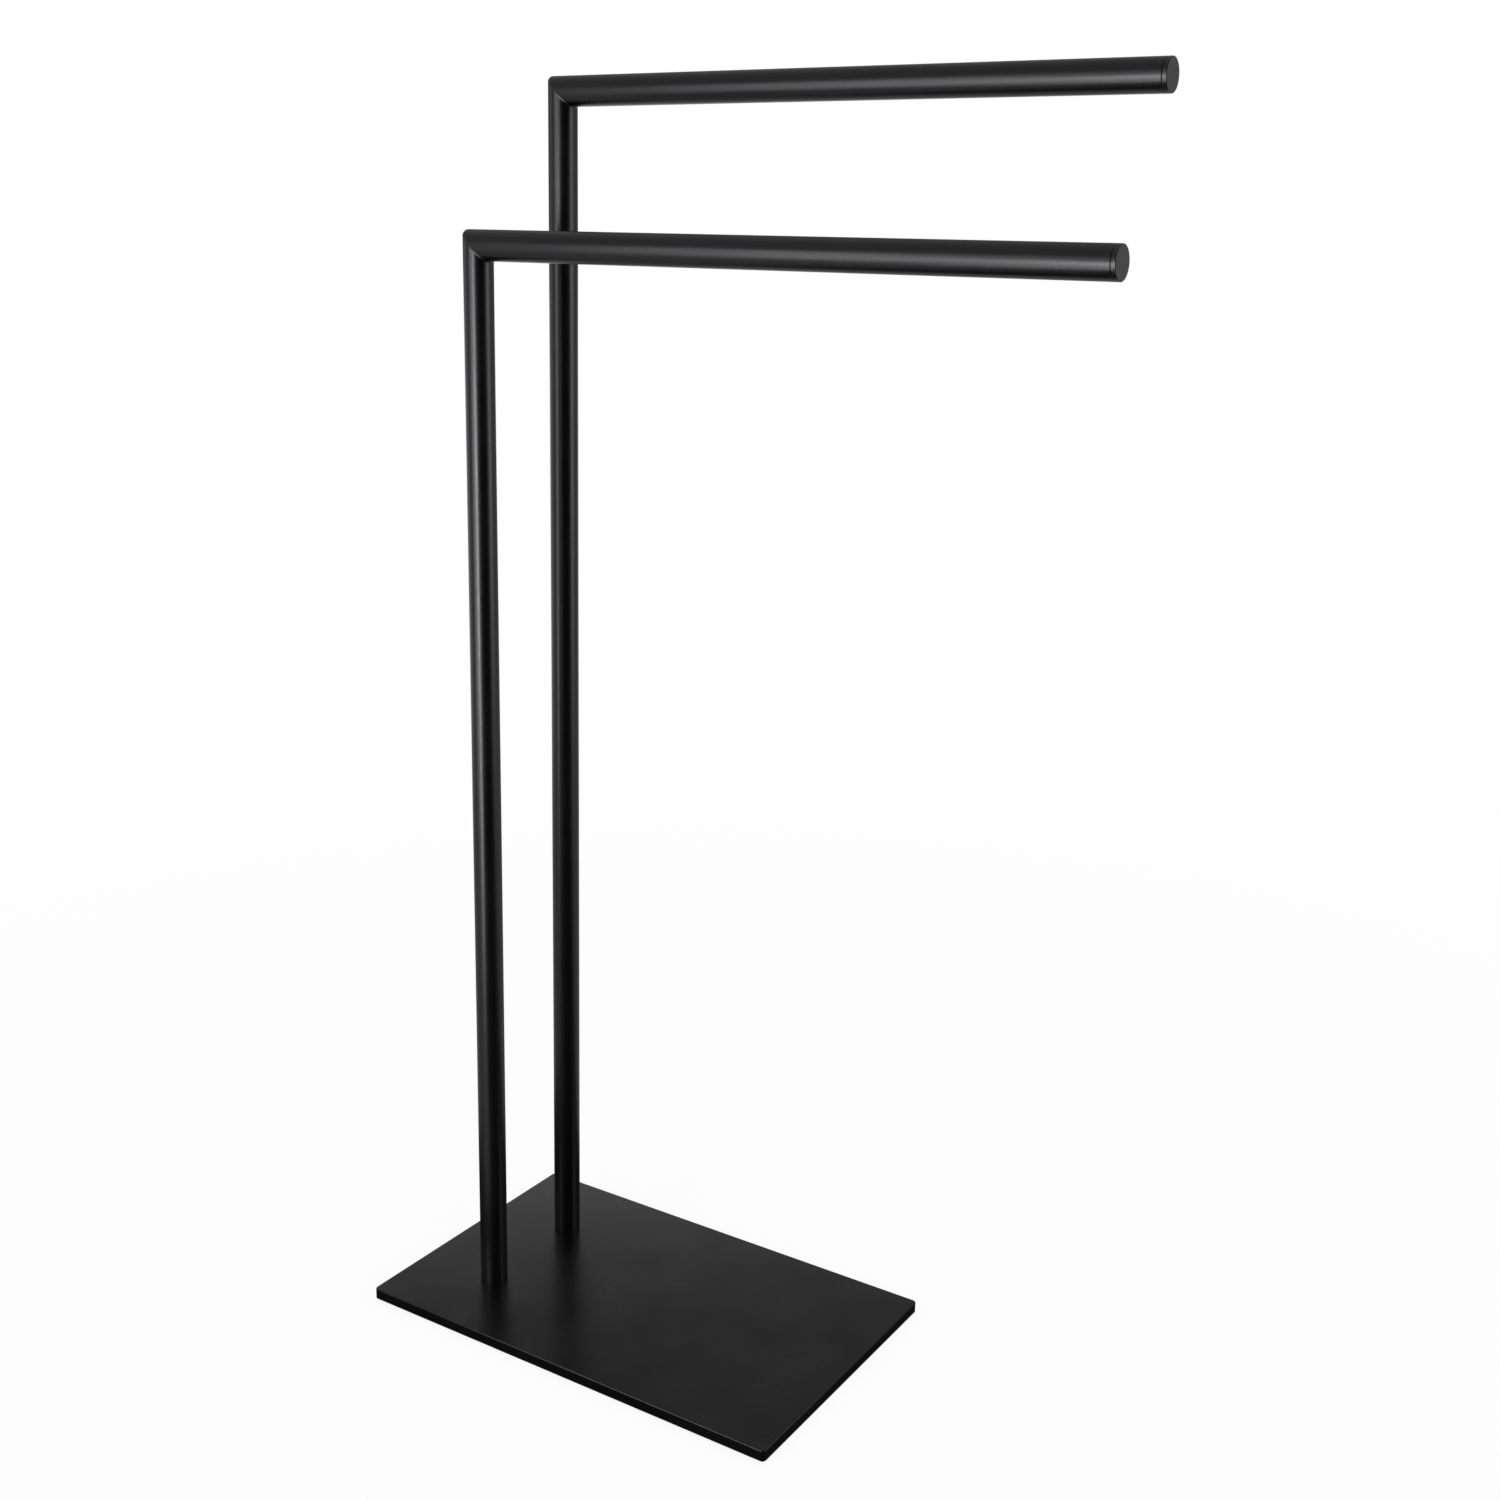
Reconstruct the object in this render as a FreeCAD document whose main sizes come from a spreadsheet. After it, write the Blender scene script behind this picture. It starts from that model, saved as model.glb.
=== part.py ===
import FreeCAD, Part
import math
import os

import Sketcher
from FreeCAD import Rotation, Vector

# Freestanding towel stand. Two L-shaped frames of round steel tube stand one behind the other on
# a flat steel plate, the front one lower. A frame is a post and a towel bar that meet at a mitred
# and welded corner, with a flat cap in the bar's free end and a threaded plug in the post's foot.
# One countersunk screw from below holds each frame to the plate, and four rubber pads carry it.
#
# Millimetres. +X runs along the bars to their free ends, +Y to the back, +Z up. The origin is on
# the floor, in the middle of the stand's outer box.

# The driving sizes: name, value, what it measures.
driving_sizes = [
    ("plate_length", 327, "base plate, along the bars"),
    ("plate_width", 205, "base plate, front to back"),
    ("plate_thickness", 8, "base plate"),
    ("plan_corner_radius", 3, "base plate, upright corners"),
    ("upper_rim_radius", 0.8, "base plate, edge round the top"),
    ("lower_rim_bevel", 0.5, "base plate, edge round the underside"),
    ("tube_diameter", 19, "posts and bars, outside"),
    ("tube_wall", 1.5, "posts and bars"),
    ("corner_radius", 2.5, "mitred corner, outer tip ground round"),
    ("seam_bevel", 0.3, "rims of bar and cap where they meet"),
    ("post_inset", 60, "left end of the plate to the posts' axes"),
    ("post_spacing", 85, "front post to back post, on centres"),
    ("front_bar_height", 717, "top of the plate to the front bar's axis"),
    ("back_bar_height", 813, "top of the plate to the back bar's axis"),
    ("front_reach", 420, "front post's axis to the face of its bar's cap"),
    ("back_reach", 407, "back post's axis to the face of its bar's cap"),
    ("flange_thickness", 3, "cap, the part outside the tube"),
    ("face_bevel", 0.5, "cap, rim of its face"),
    ("spigot_length", 12, "cap, the part inside the tube"),
    ("spigot_lead", 1, "cap, bevel that leads the spigot in"),
    ("spigot_gap", 0.1, "spigot to tube, all round"),
    ("plug_gap", 0.05, "post plug to tube, all round"),
    ("plug_end", 6, "post plug, solid end above its threaded hole"),
    ("thread_gap", 0.05, "screw to threaded hole, all round"),
    ("thread_spare", 3, "threaded hole, depth left above the screw's tip"),
    ("screw_diameter", 8, "base screw, shank"),
    ("screw_length", 20, "base screw, over all"),
    ("screw_tip_bevel", 1, "base screw, tip"),
    ("head_diameter", 16, "base screw, countersunk head"),
    ("head_angle", 90, "base screw, cone of the head, in degrees"),
    ("head_land", 0.3, "base screw, straight rim of the head"),
    ("head_recess", 0.4, "base screw, head's face to the plate's underside"),
    ("socket_flats", 5, "base screw, hexagon socket across its flats"),
    ("socket_depth", 3, "base screw, hexagon socket"),
    ("screw_hole", 9, "clearance hole through the plate"),
    ("floor_pad_diameter", 20, "rubber floor pads"),
    ("floor_pad_thickness", 1.5, "rubber floor pads"),
    ("floor_pad_radius", 0.4, "rubber floor pads, edge round the underside"),
    ("floor_pad_inset", 18, "plate's edges to the floor pads' centres"),
]

# Formulas on the driving sizes that more than one piece uses.
tube_radius = "dims.tube_diameter / 2"
bore_radius = f"({tube_radius} - dims.tube_wall)"
spigot_radius = f"({bore_radius} - dims.spigot_gap)"
box_length = "max(dims.plate_length, dims.post_inset + max(dims.front_reach, dims.back_reach))"
plate_left = f"(-{box_length} / 2)"
plate_right = f"({plate_left} + dims.plate_length)"
plate_top = "(dims.floor_pad_thickness + dims.plate_thickness)"
post_x = f"({plate_left} + dims.post_inset)"
post_y = {"front": "-dims.post_spacing / 2", "back": "dims.post_spacing / 2"}
cone_slope = "tan(dims.head_angle / 2)"
screw_in_plug = "(dims.screw_length + dims.head_recess - dims.plate_thickness)"
threaded_depth = f"({screw_in_plug} + dims.thread_spare)"

# A bar is a post's tube turned half a turn about the slanting line of their mitre, which lays
# local +Z along -X and stands local -X up along +Z.
laid_down = Rotation(Vector(-1, 0, 1), 180)
upright = Rotation()

doc = FreeCAD.newDocument("towel_stand")


# The sheet, and what bodies, sketches and features share.

def make_sheet():
    """Writes the driving sizes to the spreadsheet, one row each."""
    dims = doc.addObject("Spreadsheet::Sheet", "dims")
    for row, (name, value, note) in enumerate(driving_sizes, start=1):
        dims.set(f"A{row}", name)
        dims.set(f"B{row}", str(value))
        dims.setAlias(f"B{row}", name)
        dims.set(f"C{row}", note)
    doc.recompute()
    return dims


def number(formula):
    """The present value of a formula, so that a sketch is drawn at its true size."""
    return float(sheet.evalExpression(formula))


def make_body(label, x, y, z, turn=upright):
    """Starts a piece, whose place follows three formulas."""
    body = doc.addObject("PartDesign::Body", label)
    body.Label = label
    body.Placement.Rotation = turn
    for axis, formula in zip("xyz", (x, y, z)):
        body.setExpression(f"Placement.Base.{axis}", formula)
    return body


def make_sketch(body, plane, name):
    """Starts a sketch on one of the body's own origin planes."""
    sketch = body.newObject("Sketcher::SketchObject", name)
    support = next(f for f in body.Origin.OriginFeatures if f.Role == plane)
    sketch.AttachmentSupport = [(support, "")]
    sketch.MapMode = "FlatFace"
    return sketch


def dimension(sketch, kind, *where, size):
    """Adds one dimension to a sketch and ties it to its formula."""
    index = sketch.addConstraint(Sketcher.Constraint(kind, *where, number(size)))
    sketch.setExpression(f"Constraints[{index}]", size)


def pin_point(sketch, edge, point, x, y):
    """Dimensions a point of an edge from the sketch's origin."""
    dimension(sketch, "DistanceX", -1, 1, edge, point, size=x)
    dimension(sketch, "DistanceY", -1, 1, edge, point, size=y)


def draw_circle(sketch, diameter, x="0", y="0"):
    """Draws a circle about a pinned centre."""
    centre = Vector(number(x), number(y), 0)
    index = sketch.addGeometry(Part.Circle(centre, Vector(0, 0, 1), number(diameter) / 2))
    pin_point(sketch, index, 3, x, y)
    dimension(sketch, "Diameter", index, size=diameter)


def draw_outline(sketch, corners, arcs=None):
    """Draws a closed outline through pinned corners.

    Its runs are straight, apart from those in arcs, which holds the centre and radius of the arc
    that leaves a corner counter-clockwise, under that corner's number.
    """
    arcs = arcs or {}
    points = [Vector(number(x), number(y), 0) for x, y in corners]
    for index, (start, end) in enumerate(zip(points, points[1:] + points[:1])):
        if index in arcs:
            x, y, radius = arcs[index]
            centre = Vector(number(x), number(y), 0)
            circle = Part.Circle(centre, Vector(0, 0, 1), number(radius))
            angles = [math.atan2(p.y - centre.y, p.x - centre.x) for p in (start, end)]
            sketch.addGeometry(Part.ArcOfCircle(circle, *angles))
            dimension(sketch, "Radius", index, size=radius)
        else:
            sketch.addGeometry(Part.LineSegment(start, end))
    for index, (x, y) in enumerate(corners):
        last = (index - 1) % len(corners)
        sketch.addConstraint(Sketcher.Constraint("Coincident", last, 2, index, 1))
        pin_point(sketch, index, 1, x, y)


def make_feature(body, kind, name, profile):
    """Starts a feature on a finished sketch."""
    doc.recompute()
    feature = body.newObject(f"PartDesign::{kind}", name)
    feature.Profile = profile
    return feature


def pad_sketch(body, name, profile, length):
    """Pads a sketch along its normal."""
    pad = make_feature(body, "Pad", name, profile)
    pad.setExpression("Length", length)
    doc.recompute()
    return pad


def revolve_sketch(body, name, profile):
    """Turns half a section once about its sketch's upright axis."""
    revolution = make_feature(body, "Revolution", name, profile)
    revolution.ReferenceAxis = (profile, ["V_Axis"])
    revolution.Angle = 360
    doc.recompute()
    return revolution


def drill_up(body, name, profile, diameter):
    """Starts a hole that goes up into the body from its lowest face."""
    hole = make_feature(body, "Hole", name, profile)
    doc.recompute()
    hole.Reversed = True
    hole.ThreadType = "None"
    hole.setExpression("Diameter", diameter)
    return hole


def dress_edges(body, kind, name, size, is_wanted):
    """Fillets or chamfers every wanted edge of the body as it stands."""
    base = body.Tip
    wanted = [f"Edge{n}" for n, edge in enumerate(base.Shape.Edges, start=1) if is_wanted(edge)]
    dressing = body.newObject(f"PartDesign::{kind}", name)
    dressing.Base = (base, wanted)
    dressing.setExpression("Radius" if kind == "Fillet" else "Size", size)
    doc.recompute()


def is_upright(edge):
    """Whether an edge is a straight one along Z."""
    return edge.Curve.TypeId == "Part::GeomLine" and abs(edge.tangentAt(edge.FirstParameter).z) > 0.99


def lies_at(height):
    """A test for edges that lie flat at a height."""
    level = number(height)
    return lambda edge: abs(edge.BoundBox.ZMin - level) + abs(edge.BoundBox.ZMax - level) < 1e-6


# The pieces.

def make_base_plate():
    """Flat plate with eased rims and two holes countersunk from below."""
    plate = make_body("base_plate", plate_left, "0", "dims.floor_pad_thickness")
    front, back = "-dims.plate_width / 2", "dims.plate_width / 2"
    outline = make_sketch(plate, "XY_Plane", "plate_outline")
    draw_outline(outline, [("0", front), ("dims.plate_length", front),
                           ("dims.plate_length", back), ("0", back)])
    pad_sketch(plate, "slab", outline, "dims.plate_thickness")
    dress_edges(plate, "Fillet", "plan_corners", "dims.plan_corner_radius", is_upright)
    dress_edges(plate, "Fillet", "upper_rim", "dims.upper_rim_radius", lies_at("dims.plate_thickness"))
    dress_edges(plate, "Chamfer", "lower_rim", "dims.lower_rim_bevel", lies_at("0"))

    centres = make_sketch(plate, "XY_Plane", "screw_centres")
    for y in post_y.values():
        draw_circle(centres, "dims.screw_hole", "dims.post_inset", y)
    holes = drill_up(plate, "screw_holes", centres, "dims.screw_hole")
    holes.DepthType = "ThroughAll"
    holes.HoleCutType = "Countersink"
    holes.HoleCutCustomValues = True
    mouth = f"dims.head_diameter + 2 * (dims.head_recess + dims.head_land) * {cone_slope}"
    holes.setExpression("HoleCutDiameter", mouth)
    holes.setExpression("HoleCutCountersinkAngle", "dims.head_angle")


def make_tube(label, length, x, y, z, turn=upright):
    """Round tube on local Z, square at its start and mitred at its end.

    The length is the axis's. The long side of the mitre is at local -X, and its tip is rounded as
    the ground corner is.
    """
    tube = make_body(label, x, y, z, turn)
    section = make_sketch(tube, "XY_Plane", "tube_section")
    draw_circle(section, "dims.tube_diameter")
    draw_circle(section, f"2 * {bore_radius}")
    pad_sketch(tube, "tube_wall", section, f"{length} + {tube_radius}")

    # What the saw and the grinder take off, seen from the side: an arc at the tip, the slanting
    # cut back to the corner's inside, and a square path round the outside of the tube.
    outside = "dims.tube_diameter"
    arc_start_z = f"{length} + {tube_radius} - dims.corner_radius"
    arc_centre = (f"dims.corner_radius - {tube_radius}", arc_start_z)
    tip_inset = "dims.corner_radius * sqrt(0.5)"
    tip = (f"{arc_centre[0]} - {tip_inset}", f"{arc_start_z} + {tip_inset}")
    waste = make_sketch(tube, "XZ_Plane", "mitre_waste")
    draw_outline(waste, [
        tip,
        (f"-{tube_radius}", arc_start_z),
        (f"-{outside}", arc_start_z),
        (f"-{outside}", f"{length} + {outside}"),
        (outside, f"{length} + {outside}"),
        (outside, f"{length} - {outside}"),
    ], arcs={0: (*arc_centre, "dims.corner_radius")})
    mitre = make_feature(tube, "Pocket", "mitre", waste)
    mitre.Type = "ThroughAll"
    mitre.SideType = "Symmetric"
    doc.recompute()
    return tube


def make_end_cap(label, x, y, z):
    """Turned cap: a flange as wide as the tube and a spigot inside it."""
    cap = make_body(label, x, y, z, laid_down)
    half_section = make_sketch(cap, "XZ_Plane", "cap_section")
    draw_outline(half_section, [
        ("0", "-dims.flange_thickness"),
        (f"{tube_radius} - dims.face_bevel", "-dims.flange_thickness"),
        (tube_radius, "dims.face_bevel - dims.flange_thickness"),
        (tube_radius, "-dims.seam_bevel"),
        (f"{tube_radius} - dims.seam_bevel", "0"),
        (spigot_radius, "0"),
        (spigot_radius, "dims.spigot_length - dims.spigot_lead"),
        (f"{spigot_radius} - dims.spigot_lead", "dims.spigot_length"),
        ("0", "dims.spigot_length"),
    ])
    revolve_sketch(cap, "turned_cap", half_section)


def make_post_plug(label, x, y, z):
    """Round plug, flush with the post's foot, with a blind threaded hole from below."""
    plug = make_body(label, x, y, z)
    section = make_sketch(plug, "XY_Plane", "plug_section")
    draw_circle(section, f"2 * ({bore_radius} - dims.plug_gap)")
    pad_sketch(plug, "plug", section, f"{threaded_depth} + dims.plug_end")

    centre = make_sketch(plug, "XY_Plane", "thread_centre")
    draw_circle(centre, "dims.screw_diameter")
    thread = drill_up(plug, "threaded_hole", centre, "dims.screw_diameter + 2 * dims.thread_gap")
    thread.DepthType = "Dimension"
    thread.setExpression("Depth", threaded_depth)


def make_base_screw(label, x, y, z):
    """Countersunk screw, head down, with a hexagon socket in its head."""
    screw = make_body(label, x, y, z)
    head_radius = "dims.head_diameter / 2"
    shank_radius = "dims.screw_diameter / 2"
    cone_height = f"({head_radius} - {shank_radius}) / {cone_slope}"
    half_section = make_sketch(screw, "XZ_Plane", "screw_section")
    draw_outline(half_section, [
        ("0", "0"),
        (head_radius, "0"),
        (head_radius, "dims.head_land"),
        (shank_radius, f"dims.head_land + {cone_height}"),
        (shank_radius, "dims.screw_length - dims.screw_tip_bevel"),
        (f"{shank_radius} - dims.screw_tip_bevel", "dims.screw_length"),
        ("0", "dims.screw_length"),
    ])
    revolve_sketch(screw, "turned_screw", half_section)

    hexagon = make_sketch(screw, "XY_Plane", "socket_outline")
    corner = "dims.socket_flats / sqrt(3)"
    draw_outline(hexagon, [(f"{corner} * cos({angle})", f"{corner} * sin({angle})")
                           for angle in range(0, 360, 60)])
    socket = make_feature(screw, "Pocket", "hexagon_socket", hexagon)
    socket.Reversed = True
    socket.setExpression("Length", "dims.socket_depth")


def make_frame(side, bar_height, reach):
    """One L-shaped frame: post, bar, cap, plug and the screw that holds it."""
    y = post_y[side]
    bar_end_x = f"{post_x} + {reach} - dims.flange_thickness"
    bar_z = f"{plate_top} + {bar_height}"
    make_tube(f"{side}_post", bar_height, post_x, y, plate_top)
    bar = make_tube(f"{side}_bar", f"({reach} - dims.flange_thickness)", bar_end_x, y, bar_z, laid_down)
    at_free_end = lies_at("0")
    outer_radius = number(tube_radius)
    dress_edges(bar, "Chamfer", "seam_rim", "dims.seam_bevel",
                lambda edge: at_free_end(edge) and abs(edge.Curve.Radius - outer_radius) < 1e-6)
    make_end_cap(f"{side}_end_cap", bar_end_x, y, bar_z)
    make_post_plug(f"{side}_post_plug", post_x, y, plate_top)
    make_base_screw(f"{side}_base_screw", post_x, y, "dims.floor_pad_thickness + dims.head_recess")


def make_floor_pad(label, x, y):
    """Rubber disc under a corner of the plate."""
    pad = make_body(label, x, y, "0")
    section = make_sketch(pad, "XY_Plane", "pad_outline")
    draw_circle(section, "dims.floor_pad_diameter")
    pad_sketch(pad, "disc", section, "dims.floor_pad_thickness")
    dress_edges(pad, "Fillet", "lower_rim", "dims.floor_pad_radius", lies_at("0"))


def check_document():
    """Stops before anything is written if an object failed or a piece isn't one sound solid."""
    doc.recompute()
    for thing in doc.Objects:
        if {"Invalid", "Error"} & set(thing.State):
            raise RuntimeError(f"{thing.Label} failed: {thing.State}")
    for body in doc.findObjects("PartDesign::Body"):
        shape = body.Shape
        if shape.isNull() or not shape.isValid() or len(shape.Solids) != 1:
            raise RuntimeError(f"{body.Label} is not one valid solid")


def export_pieces():
    """Writes each piece to a file of its own name."""
    os.makedirs("parts", exist_ok=True)
    for body in doc.findObjects("PartDesign::Body"):
        body.Shape.exportStep(f"parts/{body.Label}.step")
        print(f"{body.Label}: {body.Shape.Volume:.0f} mm3")


sheet = make_sheet()
make_base_plate()
make_frame("front", "dims.front_bar_height", "dims.front_reach")
make_frame("back", "dims.back_bar_height", "dims.back_reach")
pad_reach_y = "dims.plate_width / 2 - dims.floor_pad_inset"
for depth, pad_y in (("front", f"-({pad_reach_y})"), ("back", pad_reach_y)):
    make_floor_pad(f"{depth}_left_floor_pad", f"{plate_left} + dims.floor_pad_inset", pad_y)
    make_floor_pad(f"{depth}_right_floor_pad", f"{plate_right} - dims.floor_pad_inset", pad_y)
check_document()
export_pieces()
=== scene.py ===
import math

import bmesh
import bpy
from mathutils import Euler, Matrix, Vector


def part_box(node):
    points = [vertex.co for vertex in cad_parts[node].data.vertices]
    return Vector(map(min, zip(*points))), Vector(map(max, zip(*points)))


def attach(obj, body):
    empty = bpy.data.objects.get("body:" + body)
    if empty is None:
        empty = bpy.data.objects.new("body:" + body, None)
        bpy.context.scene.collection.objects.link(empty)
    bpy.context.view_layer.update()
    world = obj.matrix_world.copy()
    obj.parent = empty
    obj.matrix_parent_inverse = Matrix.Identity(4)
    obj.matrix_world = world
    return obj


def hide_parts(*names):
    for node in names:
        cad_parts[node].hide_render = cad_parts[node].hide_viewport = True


# Freestanding towel stand: two L-shaped frames of round black tube on a flat black plate.
# Metres; +X runs along the bars to their free ends, +Y to the back, +Z up.
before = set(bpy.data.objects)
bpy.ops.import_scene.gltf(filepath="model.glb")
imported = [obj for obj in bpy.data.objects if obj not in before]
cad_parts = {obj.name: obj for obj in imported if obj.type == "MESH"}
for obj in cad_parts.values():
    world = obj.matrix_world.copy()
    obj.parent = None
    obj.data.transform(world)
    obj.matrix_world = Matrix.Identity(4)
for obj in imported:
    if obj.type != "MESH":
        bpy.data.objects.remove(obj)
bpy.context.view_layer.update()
mm = 0.001
crispAngle = math.radians(32)       # edges that turn more than this stay sharp
print("stand: frame loaded,", len(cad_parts), "nodes")


def linearColour(hexCode):
    # sRGB hex to the linear values that the shaders take, opaque
    channels = [int(hexCode[i:i + 2], 16) / 255 for i in (1, 3, 5)]
    linear = [c / 12.92 if c <= 0.04045 else ((c + 0.055) / 1.055) ** 2.4 for c in channels]
    return (*linear, 1.0)


def addNode(tree, kind, inputs=None, **settings):
    # inputs are sockets to link or plain values, by name or by number
    node = tree.nodes.new(kind)
    for name, value in settings.items():
        setattr(node, name, value)
    for key, value in (inputs or {}).items():
        if isinstance(value, bpy.types.NodeSocket):
            tree.links.new(value, node.inputs[key])
        else:
            node.inputs[key].default_value = value
    return node


def emptyMaterial(name):
    material = bpy.data.materials.new(name)
    material.use_nodes = True
    material.node_tree.nodes.clear()
    return material


def addObject(name, data):
    thing = bpy.data.objects.new(name, data)
    bpy.context.scene.collection.objects.link(thing)
    return thing


# Polyester powder, sprayed and baked: satin on the tube, a fine sandy texture on the plate.
# grainSize is drawn coarser than the real 0.1 to 0.2 mm, which would be lost between pixels. On the
# plate the bumps spread the sheen, so the roughness between them is the lower of the two.
satinPowderCoat = {
    "name": "powder coat satin black", "dark": "#030303", "light": "#060606",
    "roughness": (0.29, 0.33),
    "peelSize": 2.5 * mm, "peelDepth": 0.002 * mm, "grainSize": 0.6 * mm, "grainDepth": 0.001 * mm,
}
texturedPowderCoat = {
    "name": "powder coat fine texture black", "dark": "#040405", "light": "#070708",
    "roughness": (0.23, 0.28),
    "peelSize": 1.8 * mm, "peelDepth": 0.006 * mm, "grainSize": 0.7 * mm, "grainDepth": 0.012 * mm,
}
# Turned steel face under the same powder: a little flatter and duller than the tube.
capPowderCoat = {
    "name": "powder coat on turned cap", "dark": "#0a0a0b", "light": "#101011",
    "roughness": (0.30, 0.36),
    "peelSize": 2.0 * mm, "peelDepth": 0.003 * mm, "grainSize": 0.6 * mm, "grainDepth": 0.004 * mm,
}
# Turned free-cutting steel, left bare inside the tube: fine rings from the lathe.
bareTurnedSteel = {
    "name": "turned bare steel", "dark": "#8b8b8a", "light": "#a6a5a2",
    "roughness": (0.28, 0.40), "metallic": 1.0,
    "peelSize": 1.2 * mm, "peelDepth": 0.003 * mm, "grainSize": 0.4 * mm, "grainDepth": 0.003 * mm,
}
# Zinc plate with a black passivation: dark metal, a touch cloudy.
blackZincPlate = {
    "name": "black passivated zinc", "dark": "#2b2b2d", "light": "#39393c",
    "roughness": (0.32, 0.46), "metallic": 1.0,
    "peelSize": 3.0 * mm, "peelDepth": 0.002 * mm, "grainSize": 0.5 * mm, "grainDepth": 0.003 * mm,
}
# Die-cut rubber sheet: dull, with a fine cloth-pressed grain.
dieCutRubber = {
    "name": "die cut black rubber", "dark": "#1b1b1b", "light": "#262626",
    "roughness": (0.72, 0.86), "specular": 0.35,
    "peelSize": 1.5 * mm, "peelDepth": 0.01 * mm, "grainSize": 0.5 * mm, "grainDepth": 0.02 * mm,
}


cloudSize = 40 * mm         # the slow unevenness of the spraying
noiseSpread = (0.3, 0.7)    # between these lies most of one noise
productSpread = (0.1, 0.4)  # and here most of the product of two


def makeFinish(look):
    material = emptyMaterial(look["name"])
    tree = material.node_tree
    place = addNode(tree, "ShaderNodeTexCoord").outputs["Object"]
    # size and detail of the fine grain, the orange peel and the cloud
    patterns = ((look["grainSize"], 2.0), (look["peelSize"], 1.0), (cloudSize, 2.0))
    grain, peel, cloud = (
        addNode(tree, "ShaderNodeTexNoise", {
            "Vector": place, "Scale": 1 / size, "Detail": detail, "Roughness": 0.5}).outputs["Fac"]
        for size, detail in patterns)
    tone = addNode(tree, "ShaderNodeMath", {0: grain, 1: cloud}, operation="MULTIPLY")
    toneRange = addNode(tree, "ShaderNodeMapRange", {
        "Value": tone.outputs[0], "From Min": productSpread[0], "From Max": productSpread[1]})
    colour = addNode(tree, "ShaderNodeMix", {
        0: toneRange.outputs["Result"],
        6: linearColour(look["dark"]), 7: linearColour(look["light"])}, data_type="RGBA")
    roughness = addNode(tree, "ShaderNodeMapRange", {
        "Value": cloud, "From Min": noiseSpread[0], "From Max": noiseSpread[1],
        "To Min": look["roughness"][0], "To Max": look["roughness"][1]})
    peelBump = addNode(tree, "ShaderNodeBump", {
        "Height": peel, "Strength": 1.0, "Distance": look["peelDepth"]})
    grainBump = addNode(tree, "ShaderNodeBump", {
        "Height": grain, "Strength": 1.0, "Distance": look["grainDepth"],
        "Normal": peelBump.outputs["Normal"]})
    surface = addNode(tree, "ShaderNodeBsdfPrincipled", {
        "Base Color": colour.outputs[2],
        "Roughness": roughness.outputs["Result"],
        "Metallic": look.get("metallic", 0.0),
        "Specular IOR Level": look.get("specular", 0.5),
        "Normal": grainBump.outputs["Normal"]})
    addNode(tree, "ShaderNodeOutputMaterial", {"Surface": surface.outputs["BSDF"]})
    return material


tubeCoat = makeFinish(satinPowderCoat)
plateCoat = makeFinish(texturedPowderCoat)
capCoat = makeFinish(capPowderCoat)
plugSteel = makeFinish(bareTurnedSteel)
screwZinc = makeFinish(blackZincPlate)
padRubber = makeFinish(dieCutRubber)
print("stand: six finishes made")


mergeReach = 0.002 * mm     # points of the turned section closer than this become one


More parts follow.
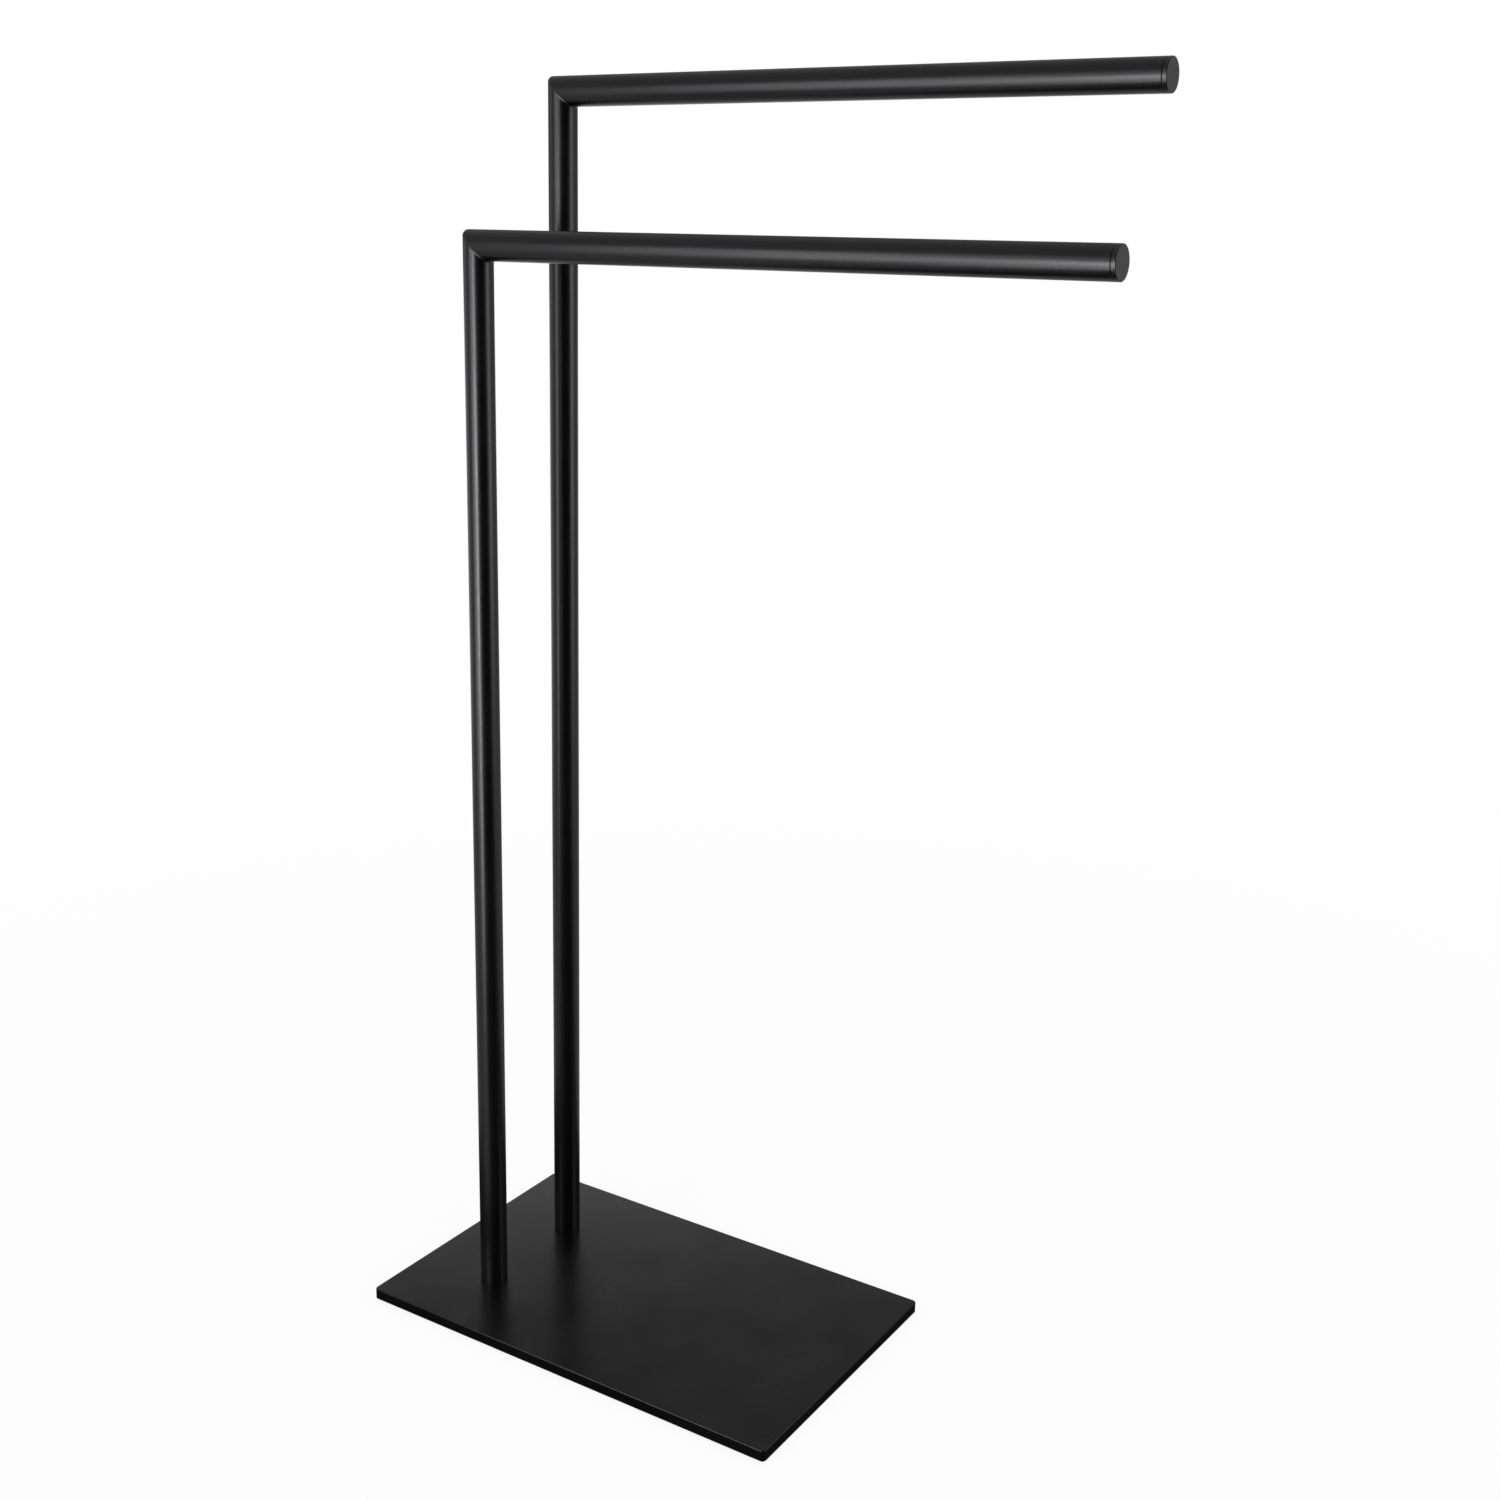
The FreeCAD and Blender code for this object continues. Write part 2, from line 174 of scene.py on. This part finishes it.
def makeTurnedTubeTree():
    # Turns a closed section about Z, then bends its corner rows to the 45 degree mitre. Across the
    # mitre the wall is rounded on the outside of the corner and filled by the weld on the inside.
    tree = bpy.data.node_groups.new("turnedTube", "GeometryNodeTree")
    face = tree.interface
    face.new_socket("Geometry", in_out="OUTPUT", socket_type="NodeSocketGeometry")
    face.new_socket("Section", in_out="INPUT", socket_type="NodeSocketGeometry")
    for name, kind in (("Radius", "Float"), ("Segments", "Int"), ("Corner Height", "Float"),
                       ("Outside Round", "Float"), ("Weld Fillet", "Float"), ("Lies Down", "Bool"),
                       ("Corner Place", "Vector"), ("Coat", "Material")):
        face.new_socket(name, in_out="INPUT", socket_type=f"NodeSocket{kind}")
    given = tree.nodes.new("NodeGroupInput").outputs

    section = addNode(tree, "GeometryNodeMeshToCurve", {"Mesh": given["Section"]})
    circle = addNode(tree, "GeometryNodeCurvePrimitiveCircle", {
        "Resolution": given["Segments"], "Radius": given["Radius"]})
    turned = addNode(tree, "GeometryNodeCurveToMesh", {
        "Curve": circle.outputs["Curve"], "Profile Curve": section.outputs["Curve"]})

    spot = addNode(tree, "GeometryNodeInputPosition").outputs[0]
    flat = addNode(tree, "ShaderNodeVectorMath", {0: spot, 1: (1, 1, 0)}, operation="MULTIPLY")
    outward = addNode(tree, "ShaderNodeVectorMath", {0: flat.outputs[0]}, operation="NORMALIZE")
    compass = addNode(tree, "ShaderNodeSeparateXYZ", {0: outward.outputs[0]})
    # c and s are the cosine and sine of a point's place round the axis
    value = {"c": compass.outputs["X"], "s": compass.outputs["Y"], "top": given["Corner Height"],
             "outside": given["Outside Round"], "weld": given["Weld Fillet"]}
    for name in ("radial", "height", "corner", "bend", "rounded", "drop"):
        value[name] = addNode(tree, "GeometryNodeInputNamedAttribute", {"Name": name},
                              data_type="FLOAT").outputs["Attribute"]
    # name, operation, operands; a name stands for an earlier result
    steps = [
        ("steep", "ABSOLUTE", "c"),
        ("turnEnd", "ARCTANGENT", "steep"),
        ("turn", "MULTIPLY", "turnEnd", "bend"),
        ("side", "SIGN", "c"),
        ("blend", "MULTIPLY_ADD", "c", 0.5, 0.5),       # 0 outside the corner, 1 inside it
        ("gap", "SUBTRACT", "weld", "outside"),
        ("round", "MULTIPLY_ADD", "gap", "blend", "outside"),
        ("arc", "MULTIPLY", "round", "rounded"),
        ("signedArc", "MULTIPLY", "arc", "side"),
        ("cosTurn", "COSINE", "turn"),
        ("fall", "SUBTRACT", 1.0, "cosTurn"),
        ("swell", "MULTIPLY", "signedArc", "fall"),
        ("cosEnd", "COSINE", "turnEnd"),
        ("fallEnd", "SUBTRACT", 1.0, "cosEnd"),
        ("swellEnd", "MULTIPLY", "signedArc", "fallEnd"),
        ("reachEnd", "ADD", "radial", "swellEnd"),
        ("lean", "MULTIPLY", "reachEnd", "c"),
        ("mitreZ", "SUBTRACT", "top", "lean"),
        ("sinTurn", "SINE", "turn"),
        ("sinEnd", "SINE", "turnEnd"),
        ("rise", "SUBTRACT", "sinEnd", "sinTurn"),
        ("arcRise", "MULTIPLY", "arc", "rise"),
        ("arcZ", "SUBTRACT", "mitreZ", "arcRise"),
        ("cornerZ", "SUBTRACT", "arcZ", "drop"),
        ("climb", "SUBTRACT", "cornerZ", "height"),
        ("z", "MULTIPLY_ADD", "climb", "corner", "height"),
        ("reach", "MULTIPLY_ADD", "swell", "corner", "radial"),
        ("x", "MULTIPLY", "reach", "c"),
        ("y", "MULTIPLY", "reach", "s"),
        ("up", "SUBTRACT", "z", "top"),
        ("mirroredX", "MULTIPLY", "up", -1.0),
        ("mirroredZ", "MULTIPLY", "x", -1.0),
    ]
    for name, operation, *operands in steps:
        operands = {i: value.get(o, o) for i, o in enumerate(operands)}
        value[name] = addNode(tree, "ShaderNodeMath", operands, operation=operation).outputs[0]
    standing = addNode(tree, "ShaderNodeCombineXYZ", {0: value["x"], 1: value["y"], 2: value["up"]})
    lying = addNode(tree, "ShaderNodeCombineXYZ", {
        0: value["mirroredX"], 1: value["y"], 2: value["mirroredZ"]})
    chosen = addNode(tree, "GeometryNodeSwitch", {
        "Switch": given["Lies Down"], "False": standing.outputs[0], "True": lying.outputs[0]},
        input_type="VECTOR")
    placed = addNode(tree, "ShaderNodeVectorMath", {
        0: chosen.outputs[0], 1: given["Corner Place"]}, operation="ADD")
    shaped = addNode(tree, "GeometryNodeSetPosition", {
        "Geometry": turned.outputs["Mesh"], "Position": placed.outputs[0]})
    closed = addNode(tree, "GeometryNodeMergeByDistance", {
        "Geometry": shaped.outputs["Geometry"], "Distance": mergeReach})
    # turning leaves the faces inside out, and laying the piece down mirrors them back
    stands = addNode(tree, "FunctionNodeBooleanMath", {0: given["Lies Down"]}, operation="NOT")
    flipped = addNode(tree, "GeometryNodeFlipFaces", {
        "Mesh": closed.outputs["Geometry"], "Selection": stands.outputs[0]})
    smooth = addNode(tree, "GeometryNodeSetShadeSmooth", {"Geometry": flipped.outputs["Mesh"]},
                     domain="FACE")
    angle = addNode(tree, "GeometryNodeInputMeshEdgeAngle")
    crisp = addNode(tree, "FunctionNodeCompare", {
        0: angle.outputs["Unsigned Angle"], 1: crispAngle}, operation="GREATER_THAN")
    edged = addNode(tree, "GeometryNodeSetShadeSmooth", {
        "Geometry": smooth.outputs["Geometry"], "Selection": crisp.outputs["Result"],
        "Shade Smooth": False}, domain="EDGE")
    coated = addNode(tree, "GeometryNodeSetMaterial", {
        "Geometry": edged.outputs["Geometry"], "Material": given["Coat"]})
    addNode(tree, "NodeGroupOutput", {"Geometry": coated.outputs["Geometry"]})
    return tree


turnedTube = makeTurnedTubeTree()


def finishMesh(name, thing):
    # Bakes the live modifiers into a plain mesh that sits at the origin.
    bpy.context.view_layer.update()
    evaluated = thing.evaluated_get(bpy.context.evaluated_depsgraph_get())
    mesh = bpy.data.meshes.new_from_object(evaluated)
    mesh.name = name
    old = thing.data
    thing.modifiers.clear()
    thing.data = mesh
    bpy.data.meshes.remove(old)
    return thing


def evenNormals(thing):
    # Long flat faces keep their own direction, and only the narrow rims beside them turn.
    even = thing.modifiers.new("evenNormals", "WEIGHTED_NORMAL")
    even.keep_sharp = True
    even.weight = 100       # the largest faces count most


def turnPiece(name, rows, sizes, cornerPlace, cornerHeight, liesDown, coat):
    # rows: radial, height, corner, bend, rounded, drop of each point of the section, which is a
    # ring for a tube and runs from axis to axis for a solid piece
    mesh = bpy.data.meshes.new(name)
    points = [(row[0] - sizes["radius"], -row[1], 0) for row in rows]
    runs = [(i, i + 1) for i in range(len(rows) - 1)]
    if rows[0][0] > 0:
        runs.append((len(rows) - 1, 0))
    mesh.from_pydata(points, runs, [])
    for column, label in enumerate(("radial", "height", "corner", "bend", "rounded", "drop")):
        field = mesh.attributes.new(label, "FLOAT", "POINT")
        field.data.foreach_set("value", [row[column] for row in rows])
    piece = addObject(name, mesh)
    modifier = piece.modifiers.new("turnedTube", "NODES")
    modifier.node_group = turnedTube
    settings = {
        "Radius": sizes["radius"], "Segments": sizes["segments"],
        "Corner Height": cornerHeight, "Outside Round": sizes.get("outsideRound", 0.0),
        "Weld Fillet": sizes.get("weldFillet", 0.0), "Lies Down": liesDown,
        "Corner Place": cornerPlace, "Coat": coat,
    }
    for item in turnedTube.interface.items_tree:
        if item.in_out == "INPUT" and item.name in settings:
            modifier[item.identifier] = settings[item.name]
    evenNormals(piece)
    return finishMesh(name, piece)


tubeSizes = {
    "radius": 9.5 * mm, "bore": 8.0 * mm,
    "outsideRound": 2.5 * mm,       # tip of the corner, ground round
    "weldFillet": 1.2 * mm,         # bead in the inside of the corner, under the coat
    "guards": (1.5 * mm, 12 * mm),  # rows this far from each end keep the wall's shading even
    "footEase": 0.15 * mm,          # the post's foot, its sharp edge taken off
    "segments": 128, "arcSteps": 10,
}
plain = (0, 0, 0, 0)        # corner, bend, rounded and drop of a point away from the mitre


def makeTube(name, length, startBevel, cornerPlace, liesDown):
    s = tubeSizes
    rows = [(s["bore"], 0, *plain), (s["radius"] - startBevel, 0, *plain),
            (s["radius"], startBevel, *plain)]
    rows += [(s["radius"], height, *plain) for height in s["guards"]]
    rows += [(s["radius"], length, 1, 0, 1, drop) for drop in reversed(s["guards"])]
    rows += [(s["radius"], length, 1, step / s["arcSteps"], 1, 0)
             for step in range(s["arcSteps"] + 1)]
    rows.append((s["bore"], length, 1, 0, 0, 0))
    return turnPiece(name, rows, s, cornerPlace, length, liesDown, tubeCoat)


capSizes = {
    "radius": 9.5 * mm, "spigot": 7.9 * mm, "spigotLead": 1.0 * mm, "flange": 3.0 * mm,
    "depth": 15.0 * mm, "faceRound": 0.5 * mm, "seamBevel": 0.3 * mm,
    "segments": 128, "arcSteps": 5,
}


def makeCap(name, facePlace):
    s = capSizes
    rows = [(0, 0, *plain)]
    for step in range(s["arcSteps"] + 1):
        turn = math.radians(90 * step / s["arcSteps"])
        rows.append((s["radius"] - s["faceRound"] * (1 - math.sin(turn)),
                     s["faceRound"] * (1 - math.cos(turn)), *plain))
    rows += [
        (s["radius"], s["flange"] - s["seamBevel"], *plain),
        (s["radius"] - s["seamBevel"], s["flange"], *plain),
        (s["spigot"], s["flange"], *plain),
        (s["spigot"], s["depth"] - s["spigotLead"], *plain),
        (s["spigot"] - s["spigotLead"], s["depth"], *plain),
        (0, s["depth"], *plain),
    ]
    return turnPiece(name, rows, s, facePlace, 0.0, True, capCoat)


for side in ("front", "back"):
    postLow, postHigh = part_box(f"{side}_post")
    barLow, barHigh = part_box(f"{side}_bar")
    capLow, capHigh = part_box(f"{side}_end_cap")
    axisX = round((postLow.x + postHigh.x) / 2, 4)
    axisY = round((capLow.y + capHigh.y) / 2, 4)
    axisZ = round((barLow.z + barHigh.z) / 2, 4)
    corner = Vector((axisX, axisY, axisZ))
    post = makeTube(f"{side}PostTube", axisZ - postLow.z, tubeSizes["footEase"], corner, False)
    bar = makeTube(f"{side}BarTube", barHigh.x - axisX, capSizes["seamBevel"], corner, True)
    cap = makeCap(f"{side}CapTurned", Vector((capHigh.x, axisY, axisZ)))
    pieces = ((post, "post", "tube_coat"), (bar, "bar", "tube_coat"), (cap, "end_cap", "cap_coat"))
    for piece, node, slot in pieces:
        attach(piece, "root")
        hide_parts(f"{side}_{node}")
    print(f"stand: {side} frame made")


plateSizes = {
    "planRadius": 3.0 * mm, "planSteps": 12,
    "rimRadius": 0.8 * mm, "rimSteps": 7,
    "lowerBevel": 0.5 * mm,
    "hole": 4.5 * mm, "mouth": 8.7 * mm,        # for a countersunk M8 screw from below
    "holeSegments": 48,
}


def makePlate(name, low, high, holeCentres):
    s = plateSizes
    levels = [(s["lowerBevel"], low.z), (0.0, low.z + s["lowerBevel"])]
    for step in range(s["rimSteps"] + 1):
        turn = math.radians(90 * step / s["rimSteps"])
        levels.append((s["rimRadius"] * (1 - math.cos(turn)),
                       high.z - s["rimRadius"] * (1 - math.sin(turn))))
    shell = bmesh.new()

    def arcPoint(centre, radius, turn, z):
        x, y = centre
        return shell.verts.new((x + radius * math.cos(turn), y + radius * math.sin(turn), z))

    def outlineRing(inset, z):
        # the plan corners keep their centres, so every level has the same points
        reach = s["planRadius"]
        left, right = low.x + reach, high.x - reach
        front, back = low.y + reach, high.y - reach
        centres = ((right, back), (left, back), (left, front), (right, front))
        ring = []
        for quarter, centre in enumerate(centres):
            for step in range(s["planSteps"] + 1):
                turn = math.radians(90 * (quarter + step / s["planSteps"]))
                ring.append(arcPoint(centre, reach - inset, turn, z))
        return ring

    def roundRing(centre, radius, z):
        return [arcPoint(centre, radius, math.tau * i / s["holeSegments"], z)
                for i in range(s["holeSegments"])]

    def bridge(lower, upper):
        for i in range(len(lower)):
            j = (i + 1) % len(lower)
            shell.faces.new((lower[i], lower[j], upper[j], upper[i]))

    def edgesOf(ring):
        pairs = zip(ring, ring[1:] + ring[:1])
        return [shell.edges.get(pair) or shell.edges.new(pair) for pair in pairs]

    walls = [outlineRing(*level) for level in levels]
    for lower, upper in zip(walls, walls[1:]):
        bridge(lower, upper)
    coneTop = low.z + s["mouth"] - s["hole"]        # 90 degree cone
    bottomRims, topRims = edgesOf(walls[0]), edgesOf(walls[-1])
    for centre in holeCentres:
        mouth, throat, upper = (roundRing(centre, radius, z) for radius, z in (
            (s["mouth"], low.z), (s["hole"], coneTop), (s["hole"], high.z)))
        bridge(mouth, throat)
        bridge(throat, upper)
        bottomRims += edgesOf(mouth)
        topRims += edgesOf(upper)
    for rims in (bottomRims, topRims):
        bmesh.ops.triangle_fill(shell, use_beauty=True, use_dissolve=False, edges=rims)
    bmesh.ops.recalc_face_normals(shell, faces=shell.faces)
    for edge in shell.edges:
        edge.smooth = len(edge.link_faces) == 2 and edge.calc_face_angle(0.0) < crispAngle
    for face in shell.faces:
        face.smooth = True
    mesh = bpy.data.meshes.new(name)
    shell.to_mesh(mesh)
    shell.free()
    mesh.materials.append(plateCoat)
    plate = addObject(name, mesh)
    evenNormals(plate)
    return finishMesh(name, plate)


plateLow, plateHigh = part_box("base_plate")
screwCentres = []
for side in ("front", "back"):
    screwLow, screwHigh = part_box(f"{side}_base_screw")
    screwCentres.append(((screwLow.x + screwHigh.x) / 2, (screwLow.y + screwHigh.y) / 2))
plate = makePlate("plateEased", plateLow, plateHigh, screwCentres)
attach(plate, "root")
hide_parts("base_plate")
print("stand: plate made")

# The small fastenings and the pads keep their CAD shapes and get their finishes.
for name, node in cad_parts.items():
    finish = {"plug": plugSteel, "screw": screwZinc, "pad": padRubber}.get(name.split("_")[-1])
    if finish:
        node.data.materials.clear()
        node.data.materials.append(finish)
print("stand: plugs, screws and pads finished")


studio = {
    "floorSize": (14.0, 14.0), "floorColour": "#f4f4f4",
    "worldLevel": 0.55,         # white world, as it lights the object
    "whiteNear": 0.9,           # share of the floor round the stand that shows as plain white
    "nearReach": 0.5, "farReach": 1.7,      # metres from the stand over which that share becomes 1
}
target = Vector((-0.1, 0.0, 0.55))          # what lamps and boards are turned to: posts and bars
# The lamps give the plain level on matt surfaces and show in no gloss. What the gloss shows is
# listed below them.
lamps = {
    "frontLamp": {"place": (-0.3, -2.2, 1.1), "size": 1.4, "level": 0.30},
    "sideLamp": {"place": (2.4, 0.4, 1.2), "size": 1.2, "level": 0.15},
    "topLamp": {"place": (0.0, 0.0, 2.6), "size": 2.0, "level": 0.40},
}
# Soft boxes, boards and flags that stand round the posts and show in gloss only: turn from +X in
# degrees, distance, width, lower and upper edge in metres, and brightness, where 1 is white.
standingBoards = {
    "frontSoftBox": {"turn": -94, "away": 1.69, "width": 0.31, "rise": (0.0, 0.70), "glow": 20,
                     "colour": "#f6f4ff"},
    "frontLeftBoard": {"turn": -115, "away": 1.31, "width": 0.32, "rise": (0.0, 1.1), "glow": 3.9,
                       "colour": "#f6f4ff"},
    "frontBoard": {"turn": -96, "away": 1.75, "width": 1.0, "rise": (0.0, 1.6), "glow": 1.2},
    "blackFlag": {"turn": -40, "away": 1.40, "width": 2.36, "rise": (0.0, 2.4), "glow": 0.0},
    "sideSoftBox": {"turn": 18, "away": 1.28, "width": 0.34, "rise": (0.25, 1.0), "glow": 3.2},
    "sideBoard": {"turn": 22, "away": 1.34, "width": 1.10, "rise": (0.0, 1.1), "glow": 0.95},
    "leftBoard": {"turn": -165, "away": 1.34, "width": 0.72, "rise": (0.0, 1.4), "glow": 0.73},
    "backBoard": {"turn": 135, "away": 1.30, "width": 2.60, "rise": (0.0, 0.65), "glow": 0.98},
    "backFlag": {"turn": 135, "away": 1.30, "width": 2.60, "rise": (0.65, 1.45), "glow": 0.17},
}
# The eight walls of the grey room behind them.
roomWall = {"away": 1.9, "width": 1.6, "rise": (0.0, 2.4), "glow": 0.37}
standingBoards.update(
    {f"roomWall{turn}": {"turn": turn, **roomWall} for turn in range(0, 360, 45)})
# The room's ceiling, and what lies on its floor: about a millimetre above the paper, each piece
# at a height of its own where two overlap.
up, down = (0, 0, 1), (0, 0, -1)
boards = {
    # painted pool of light: a glowing strip on the floor where the front soft box lights it, seen
    # in gloss only
    "paintedFloorLightPool": {"place": (-0.21, -1.20, 0.0014), "faces": up, "size": (0.22, 0.86), "glow": 7},
    "ceiling": {"place": (-0.1, 0.0, 2.35), "faces": down, "size": (4.2, 4.2), "glow": 0.39},
    "floorCard": {"place": (-0.1, 0.0, 0.0008), "faces": up, "size": (4.2, 4.2), "glow": 0.41},
    "floorFlag": {"place": (0.60, -0.60, 0.0012), "faces": up, "size": (1.40, 1.50), "glow": 0.03},
    # painted shade: a dark card round the plate standing in for the floor's contact shadow, seen in
    # the plate's sides in gloss only
    "paintedPlateContactShade": {"place": (-0.12, 0.0, 0.0010), "faces": up, "size": (0.60, 0.40), "glow": 0.03},
}
for name, spot in standingBoards.items():
    turn = math.radians(spot["turn"])
    outward = Vector((math.cos(turn), math.sin(turn), 0))
    low, high = spot["rise"]
    middle = Vector((target.x, target.y, (low + high) / 2)) + outward * spot["away"]
    boards[name] = {**spot, "place": middle, "faces": -outward, "size": (spot["width"], high - low)}

for name, spot in lamps.items():
    lamp = bpy.data.lights.new(name, "AREA")
    lamp.size = spot["size"]
    box = addObject(name, lamp)
    box.location = spot["place"]
    throw = target - box.location
    box.rotation_euler = throw.to_track_quat("-Z", "Y").to_euler()
    # watts that bring the lamp's level to the stand over that distance
    lamp.energy = spot["level"] * math.pi ** 2 * throw.length_squared
    box.visible_camera = box.visible_glossy = False


def quadMesh(name, width, height, material):
    x, y = width / 2, height / 2
    mesh = bpy.data.meshes.new(name)
    mesh.from_pydata([(-x, -y, 0), (x, -y, 0), (x, y, 0), (-x, y, 0)], [], [(0, 1, 2, 3)])
    mesh.materials.append(material)
    return mesh


for name, spot in boards.items():
    card = emptyMaterial(f"{name} card")
    glow = addNode(card.node_tree, "ShaderNodeEmission", {
        "Color": linearColour(spot.get("colour", "#ffffff")), "Strength": spot["glow"]})
    addNode(card.node_tree, "ShaderNodeOutputMaterial", {"Surface": glow.outputs[0]})
    board = addObject(name, quadMesh(name, *spot["size"], card))
    board.location = spot["place"]
    board.rotation_euler = Vector(spot["faces"]).to_track_quat("Z", "Y").to_euler()
    board.visible_camera = board.visible_diffuse = board.visible_shadow = False
    board.visible_transmission = board.visible_volume_scatter = False


def backgroundRays(tree):
    # 1 for rays that see the background: the camera's, and those in gloss and glass
    path = addNode(tree, "ShaderNodeLightPath").outputs
    some = addNode(tree, "ShaderNodeMath", {0: path["Is Camera Ray"], 1: path["Is Glossy Ray"]},
                   operation="MAXIMUM")
    return addNode(tree, "ShaderNodeMath", {0: some.outputs[0], 1: path["Is Transmission Ray"]},
                   operation="MAXIMUM").outputs[0]


world = bpy.data.worlds.new("white studio")
world.use_nodes = True
world.node_tree.nodes.clear()
level = addNode(world.node_tree, "ShaderNodeMapRange", {
    "Value": backgroundRays(world.node_tree), "To Min": studio["worldLevel"], "To Max": 1.0})
sky = addNode(world.node_tree, "ShaderNodeBackground", {
    "Color": (1, 1, 1, 1), "Strength": level.outputs["Result"]})
addNode(world.node_tree, "ShaderNodeOutputWorld", {"Surface": sky.outputs[0]})
bpy.context.scene.world = world

paper = emptyMaterial("white paper sweep")
paperTree = paper.node_tree
paperPlace = addNode(paperTree, "ShaderNodeTexCoord").outputs["Object"]
reach = addNode(paperTree, "ShaderNodeVectorMath", {0: paperPlace}, operation="LENGTH")
whiteShare = addNode(paperTree, "ShaderNodeMapRange", {
    "Value": reach.outputs["Value"],
    "From Min": studio["nearReach"], "From Max": studio["farReach"],
    "To Min": studio["whiteNear"], "To Max": 1.0}, interpolation_type="SMOOTHSTEP")
veil = addNode(paperTree, "ShaderNodeMath", {
    0: backgroundRays(paperTree), 1: whiteShare.outputs["Result"]}, operation="MULTIPLY")
matt = addNode(paperTree, "ShaderNodeBsdfDiffuse", {
    "Color": linearColour(studio["floorColour"])})
white = addNode(paperTree, "ShaderNodeEmission", {"Color": (1, 1, 1, 1), "Strength": 1.0})
sheet = addNode(paperTree, "ShaderNodeMixShader", {
    0: veil.outputs[0], 1: matt.outputs[0], 2: white.outputs[0]})
addNode(paperTree, "ShaderNodeOutputMaterial", {"Surface": sheet.outputs[0]})
floor = addObject("floor", quadMesh("floor", *studio["floorSize"], paper))

# The photograph's camera: place in metres, turn in degrees, lens and sensor in millimetres.
photoView = {
    "place": (0.593, -0.94486, 0.73198), "turn": (74.5646, -1.3182, 32.4709),
    "lens": 44.11, "sensor": 36.0,
}
cameraData = bpy.data.cameras.new("photoCamera")
cameraData.lens = photoView["lens"]
cameraData.sensor_width = photoView["sensor"]
cameraData.sensor_fit = "HORIZONTAL"
camera = addObject("photoCamera", cameraData)
camera.location = photoView["place"]
camera.rotation_euler = Euler([math.radians(a) for a in photoView["turn"]], "XYZ")
bpy.context.scene.camera = camera
bpy.context.scene.view_settings.view_transform = "Standard"
print("stand: studio and camera set")
